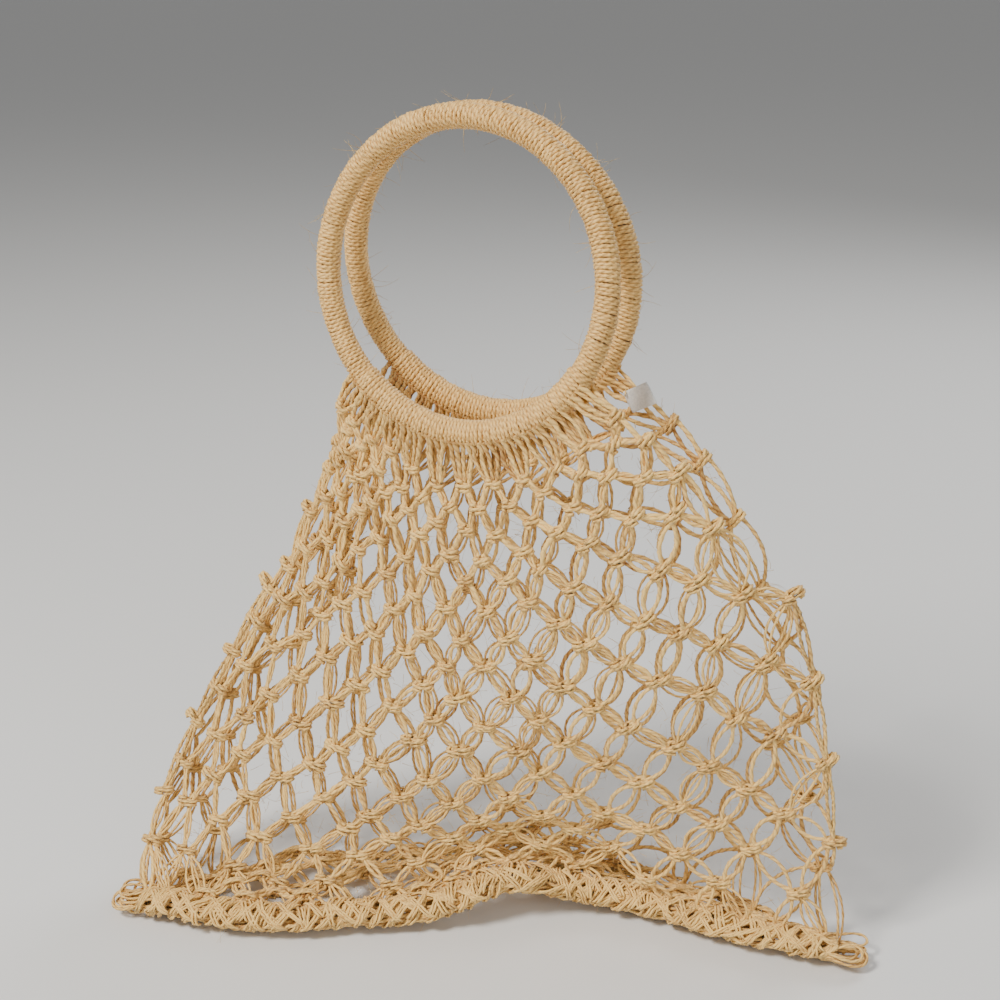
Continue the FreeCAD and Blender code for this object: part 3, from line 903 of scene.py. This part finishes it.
class BAG_OT_braid(bpy.types.Operator):
    """Plaits the thick bottom edge and the loops at its two corners"""
    bl_idname = "bag.braid"
    bl_label = "Bottom braid"

    def execute(self, context):
        braid = context.scene.bag_braid
        rng = np.random.default_rng(303)
        samples = np.linspace(-0.995, 0.995, BRAID_SAMPLES)
        line = seam(samples)
        travel = np.concatenate(((0,), np.cumsum(np.linalg.norm(np.diff(line, axis=0), axis=1))))
        tangent = unit(np.gradient(line, axis=0))
        level = unit(np.cross((0, 0, 1.0), tangent))
        upward = np.cross(tangent, level)
        half, high = braid.width / 2, braid.height / 2

        def uneven(size, knots=50):
            spots = np.linspace(0, travel[-1], knots)
            return np.interp(travel, spots, rng.normal(0, size, knots))

        twine = Twine()

        def lay_strand(across, up, radius, tone):
            path = line + level * column(across) + upward * column(up)
            twine.add(path[None], radius, tone)

        for number in range(FILL_STRANDS):
            spot = number * FILL_ANGLE
            across = half * 0.62 * math.cos(spot) + uneven(1.3 * MM)
            up = high * 0.6 * math.sin(spot) + uneven(1.1 * MM)
            lay_strand(across, up, braid.strand * 1.3, 0.42 + rng.normal(0, 0.12))
        for bundle in range(BUNDLES):
            turn = travel / braid.repeat * 2 * np.pi + bundle * np.pi / 2 + uneven(0.9, 22)
            for strand in range(BUNDLE_STRANDS):
                offset = (strand - 2) * 1.6 * MM
                across = (half - 1.2 * MM) * 0.86 * np.sin(turn) + offset * np.cos(turn) * 0.8
                up = high * 0.80 * np.cos(turn) - offset * np.sin(turn) * 0.5
                up = np.where(up > 0, up, up * 0.8) + uneven(0.35 * MM)
                tone = 0.58 + rng.normal(0, 0.13)
                lay_strand(across + uneven(0.8 * MM), up + uneven(0.5 * MM), braid.strand, tone)
        self.stitches(twine, rng, travel, line, level, upward, braid)
        piece = twine.build("bottom_braid_plait", net_finish())
        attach(piece, "net")
        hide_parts("bottom_braid")
        for corner, way, name in ((LEFT_CORNER, -1, "left"), (RIGHT_CORNER, 1, "right")):
            self.corner_loops(corner, way, name, rng, braid)
        return {"FINISHED"}

    def stitches(self, twine, rng, travel, line, level, upward, braid):
        """Slanting stitches worked over the plait, leaning both ways."""
        half, high = braid.width / 2, braid.height / 2
        for way in (-1, 1):
            count = int(travel[-1] / STITCH_SPACING)
            spots = (np.arange(count) + 0.5) * travel[-1] / count + rng.normal(0, 3 * MM, count)
            spots = np.clip(spots, 12 * MM, travel[-1] - 12 * MM)
            lean = way * (5 * MM + rng.normal(0, 2.5 * MM, count))
            begin, span = rng.uniform(-0.35, 0.9, count), rng.uniform(1.1, 2.1, count)
            for shift in (0, 1.9 * MM):
                t = np.linspace(0, 1, 13)[None]
                turn = (begin[:, None] + span[:, None] * t)
                distance = (spots + shift)[:, None] + lean[:, None] * (t * 2 - 1)
                grow = 1.06 - 0.22 * (2 * t - 1) ** 4
                base = np.stack([np.interp(distance, travel, line[:, k]) for k in range(3)], -1)
                side = np.stack([np.interp(distance, travel, level[:, k]) for k in range(3)], -1)
                rise = np.stack([np.interp(distance, travel, upward[:, k]) for k in range(3)], -1)
                path = (base - side * column(half * grow * np.cos(turn))
                        + rise * column(high * grow * np.sin(turn)))
                tone = 0.62 + rng.normal(0, 0.14, count)
                radius = braid.strand * (0.95 + rng.normal(0, 0.08, count))
                twine.add(path, radius, tone)

    def corner_loops(self, corner, way, name, rng, braid):
        along = unit(RIGHT_CORNER - LEFT_CORNER) * way
        back = base_back()
        up = np.array((0, 0, 1.0))
        twine = Twine()
        for _ in range(CORNER_RINGS):
            centre = (corner + along * (-2 + 9 * rng.random()) * MM
                      + back * (rng.random() * 16 - 6) * MM + up * (5 + 7 * rng.random()) * MM)
            tip = rng.normal(0, 0.45)
            plane = unit(back * math.cos(tip) + up * math.sin(tip))
            long_side, short_side = (8 + 3 * rng.random()) * MM, (4.5 + 2.5 * rng.random()) * MM
            turn = np.linspace(0, 2 * np.pi, 40) + rng.random() * 6
            path = (centre + along * column(long_side * np.cos(turn))
                    + plane * column(short_side * np.sin(turn))
                    + up * column(1.2 * MM * np.sin(turn * 2)))
            twine.add(path[None], braid.strand * 0.95, 0.5 + rng.normal(0, 0.15))
        piece = twine.build(f"{name}_corner_loops", net_finish())
        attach(piece, "net")
        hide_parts(f"{name}_corner_loop")


# ---- stray fibres ----------------------------------------------------------------------
def stray_fibres(name, roots, outward, seed, length, body=None):
    """Fine loose hairs that stand off the twine in slow curls. They ride on a body, or are left
    unattached with their placement baked into the mesh."""
    rng = np.random.default_rng(seed)
    count = len(roots)
    heading_dir = unit(outward * 0.8 + rng.normal(0, 0.8, (count, 3)))
    bend = np.cross(heading_dir, unit(rng.normal(0, 1, (count, 3))))
    reach = length * (0.4 + rng.random((count, 1)))
    t = np.linspace(0, 1, 8)[None, :, None]
    curl = rng.normal(0, 0.6, (count, 1, 1))
    path = (roots[:, None] + heading_dir[:, None] * reach[:, None] * t
            + bend[:, None] * reach[:, None] * curl * t * t)
    twine = Twine()
    twine.add(path, 0.13 * MM, 0.75 + rng.normal(0, 0.1, count), sides=3, flatness=0,
              taper=np.linspace(1, 0.35, 8))
    piece = twine.build(name, net_finish())
    if body:
        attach(piece, body)
    else:
        fold_with_hoop(piece)


HOOP_HAIRS, NET_HAIRS, BRAID_HAIRS = 260, 900, 160


class BAG_OT_fibres(bpy.types.Operator):
    """Adds the loose fibres that stand off the hoops and the net"""
    bl_idname = "bag.fibres"
    bl_label = "Stray fibres"

    def execute(self, context):
        rng = np.random.default_rng(404)
        hoops = context.scene.bag_hoops
        for side in (FRONT, BACK):
            name = SIDE_NAMES[side]
            angle = rng.random(HOOP_HAIRS) * 2 * np.pi
            turn = rng.random(HOOP_HAIRS) * 2 * np.pi
            across = np.cross(hoop_down(side), (1.0, 0, 0))
            spoke = unit(around_hoop(side, 1.0, angle) - hoop_centre(side))
            out = spoke * column(np.cos(turn)) + across * column(np.sin(turn))
            roots = hoop_centre(side) + spoke * hoop_radius() + out * hoops.wrapped / 2 * 0.95
            stray_fibres(f"{name}_hoop_fibres", roots, out, 500 + side, 9 * MM,
                         body=f"{name}_hoop")
            u = rng.uniform(-0.97, 0.97, NET_HAIRS)
            v = rng.uniform(0.02, 0.97, NET_HAIRS)
            _, _, outward = net_frame(side, u, v)
            stray_fibres(f"{name}_net_fibres", net_point(side, u, v), outward, 600 + side,
                         10 * MM)
        u = rng.uniform(-0.97, 0.97, BRAID_HAIRS)
        forward = np.tile(np.array((0, -0.6, 0.4)), (BRAID_HAIRS, 1))
        stray_fibres("braid_fibres", seam(u), forward, 700, 12 * MM, body="net")
        return {"FINISHED"}


# ---- tag -------------------------------------------------------------------------------
class BAG_OT_tag(bpy.types.Operator):
    """Hangs a blank paper tag on the back panel, beside the right end of the hoops"""
    bl_idname = "bag.tag"
    bl_label = "Blank tag"

    def execute(self, context):
        low, high = (np.array(corner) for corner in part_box("price_tag"))
        centre = (low + high) / 2
        bpy.ops.object.select_all(action="DESELECT")
        bpy.ops.mesh.primitive_grid_add(x_subdivisions=16, y_subdivisions=12, size=1)
        tag = context.active_object
        tag.name = tag.data.name = "blank_tag"
        turn = Matrix.Rotation(math.radians(-30), 3, "Y")
        for vertex in tag.data.vertices:
            x, y = vertex.co.x, vertex.co.y
            curl = 1.1 * MM * math.sin(x * math.pi) + 0.9 * MM * (4 * y * y) * (0.3 + x)
            flat = Vector((x * 15 * MM, -curl, y * 11 * MM))
            vertex.co = turn @ flat + Vector(centre)
        bpy.ops.object.shade_smooth()
        bpy.ops.object.modifier_add(type="SOLIDIFY")
        tag.modifiers[-1].thickness = 0.35 * MM
        bpy.ops.object.modifier_apply(modifier=tag.modifiers[-1].name)
        tag.data.materials.append(
            grain_finish("blank_paper", context.scene.bag_finish.paper, 900.0, (1, 1, 1), 0.75,
                         0.05 * MM))
        fold_with_hoop(tag)
        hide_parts("price_tag")
        self.tie(centre, turn)
        return {"FINISHED"}

    def tie(self, centre, turn):
        """A thread loop that holds the tag to the net behind it."""
        corner = centre + np.array(turn @ Vector((-6 * MM, -0.6 * MM, 4 * MM)))
        behind = corner + vec(-1.5, 5.2, 1.5)
        sides = np.array(turn @ Vector((0.8 * MM, 0, 1.1 * MM)))
        loop = np.stack((corner, (corner + behind) / 2 + sides, behind,
                         (corner + behind) / 2 - sides, corner))
        twine = Twine()
        twine.add(smooth_path(loop, 25)[None], 0.35 * MM, 0.6, lay=3 * MM)
        thread = twine.build("tag_thread", net_finish())
        fold_with_hoop(thread)


# ---- stage -----------------------------------------------------------------------------
def plain_finish(name, color, roughness):
    nodes = Nodes(name)
    nodes.surface(roughness).inputs["Base Color"].default_value = (*color, 1)
    return nodes.material


def camera_place():
    stage = bpy.context.scene.bag_stage
    sin, cos = math.sin(stage.azimuth), math.cos(stage.azimuth)
    middle = (hoop_centre(FRONT) + hoop_centre(BACK)) / 2
    return Vector((middle[0] + sin * stage.distance + cos * stage.sidestep,
                   middle[1] - cos * stage.distance + sin * stage.sidestep, stage.height))


class BAG_OT_stage(bpy.types.Operator):
    """Sets the floor, the lights and the camera"""
    bl_idname = "bag.stage"
    bl_label = "Stage"

    def execute(self, context):
        stage = context.scene.bag_stage
        bpy.ops.object.select_all(action="DESELECT")
        bpy.ops.mesh.primitive_plane_add(size=60)
        floor = context.active_object
        floor.name = "floor"
        floor.data.materials.append(plain_finish("pale_floor", (0.74, 0.74, 0.73), 0.8))
        world = context.scene.world or bpy.data.worlds.new("studio")
        context.scene.world = world
        world.use_nodes = True
        world.node_tree.nodes["Background"].inputs["Color"].default_value = (1, 1, 1, 1)
        world.node_tree.nodes["Background"].inputs["Strength"].default_value = 0.30
        for name, place, size, power, color in (
            ("key", (-0.6, -1.2, 1.7), 0.5, 52, (1.0, 0.97, 0.92)),
            ("fill", (1.5, -0.9, 0.9), 1.2, 9, (0.95, 0.97, 1.0)),
            ("rim", (0.4, 1.4, 1.3), 0.9, 14, (1.0, 1.0, 1.0)),
        ):
            bpy.ops.object.light_add(type="AREA", location=place)
            lamp = context.active_object
            lamp.name = name
            lamp.data.size, lamp.data.energy, lamp.data.color = size, power, color
            aim = Vector((0, 0, 0.2)) - Vector(place)
            lamp.rotation_euler = aim.to_track_quat("-Z", "Y").to_euler()
        sin, cos = math.sin(stage.azimuth), math.cos(stage.azimuth)
        bpy.ops.object.camera_add(location=camera_place())
        camera = context.active_object
        aim = Vector((-sin * math.cos(stage.pitch), cos * math.cos(stage.pitch),
                      -math.sin(stage.pitch)))
        camera.rotation_euler = aim.to_track_quat("-Z", "Y").to_euler()
        camera.data.lens = stage.lens
        camera.data.clip_start = 0.01
        context.scene.camera = camera
        return {"FINISHED"}


class BAG_PT_panel(bpy.types.Panel):
    """Lists the makers of the bag's pieces"""
    bl_label = "Net Bag"
    bl_space_type = "VIEW_3D"
    bl_region_type = "UI"
    bl_category = "Net Bag"

    def draw(self, context):
        for operator in OPERATORS:
            self.layout.operator(operator.bl_idname)
        for group in GROUPS:
            settings = getattr(context.scene, group)
            box = self.layout.box()
            for key in settings.__annotations__:
                box.prop(settings, key)


GROUPS = {"bag_hoops": HoopSettings, "bag_net": NetSettings, "bag_braid": BraidSettings,
          "bag_finish": FinishSettings, "bag_stage": StageSettings}
OPERATORS = (BAG_OT_stage, BAG_OT_hoops, BAG_OT_front_net, BAG_OT_back_net, BAG_OT_braid,
             BAG_OT_fibres, BAG_OT_tag)


def register():
    for item in (*GROUPS.values(), *OPERATORS, BAG_PT_panel):
        bpy.utils.register_class(item)
    for name, group in GROUPS.items():
        setattr(bpy.types.Scene, name, PointerProperty(type=group))


def unregister():
    for name in GROUPS:
        delattr(bpy.types.Scene, name)
    for item in (BAG_PT_panel, *reversed(OPERATORS), *reversed(GROUPS.values())):
        bpy.utils.unregister_class(item)


def main():
    register()
    bpy.ops.bag.stage()
    bpy.ops.bag.hoops()
    bpy.ops.bag.front_net()
    bpy.ops.bag.back_net()
    bpy.ops.bag.braid()
    bpy.ops.bag.fibres()
    bpy.ops.bag.tag()


if __name__ == "__main__":
    main()
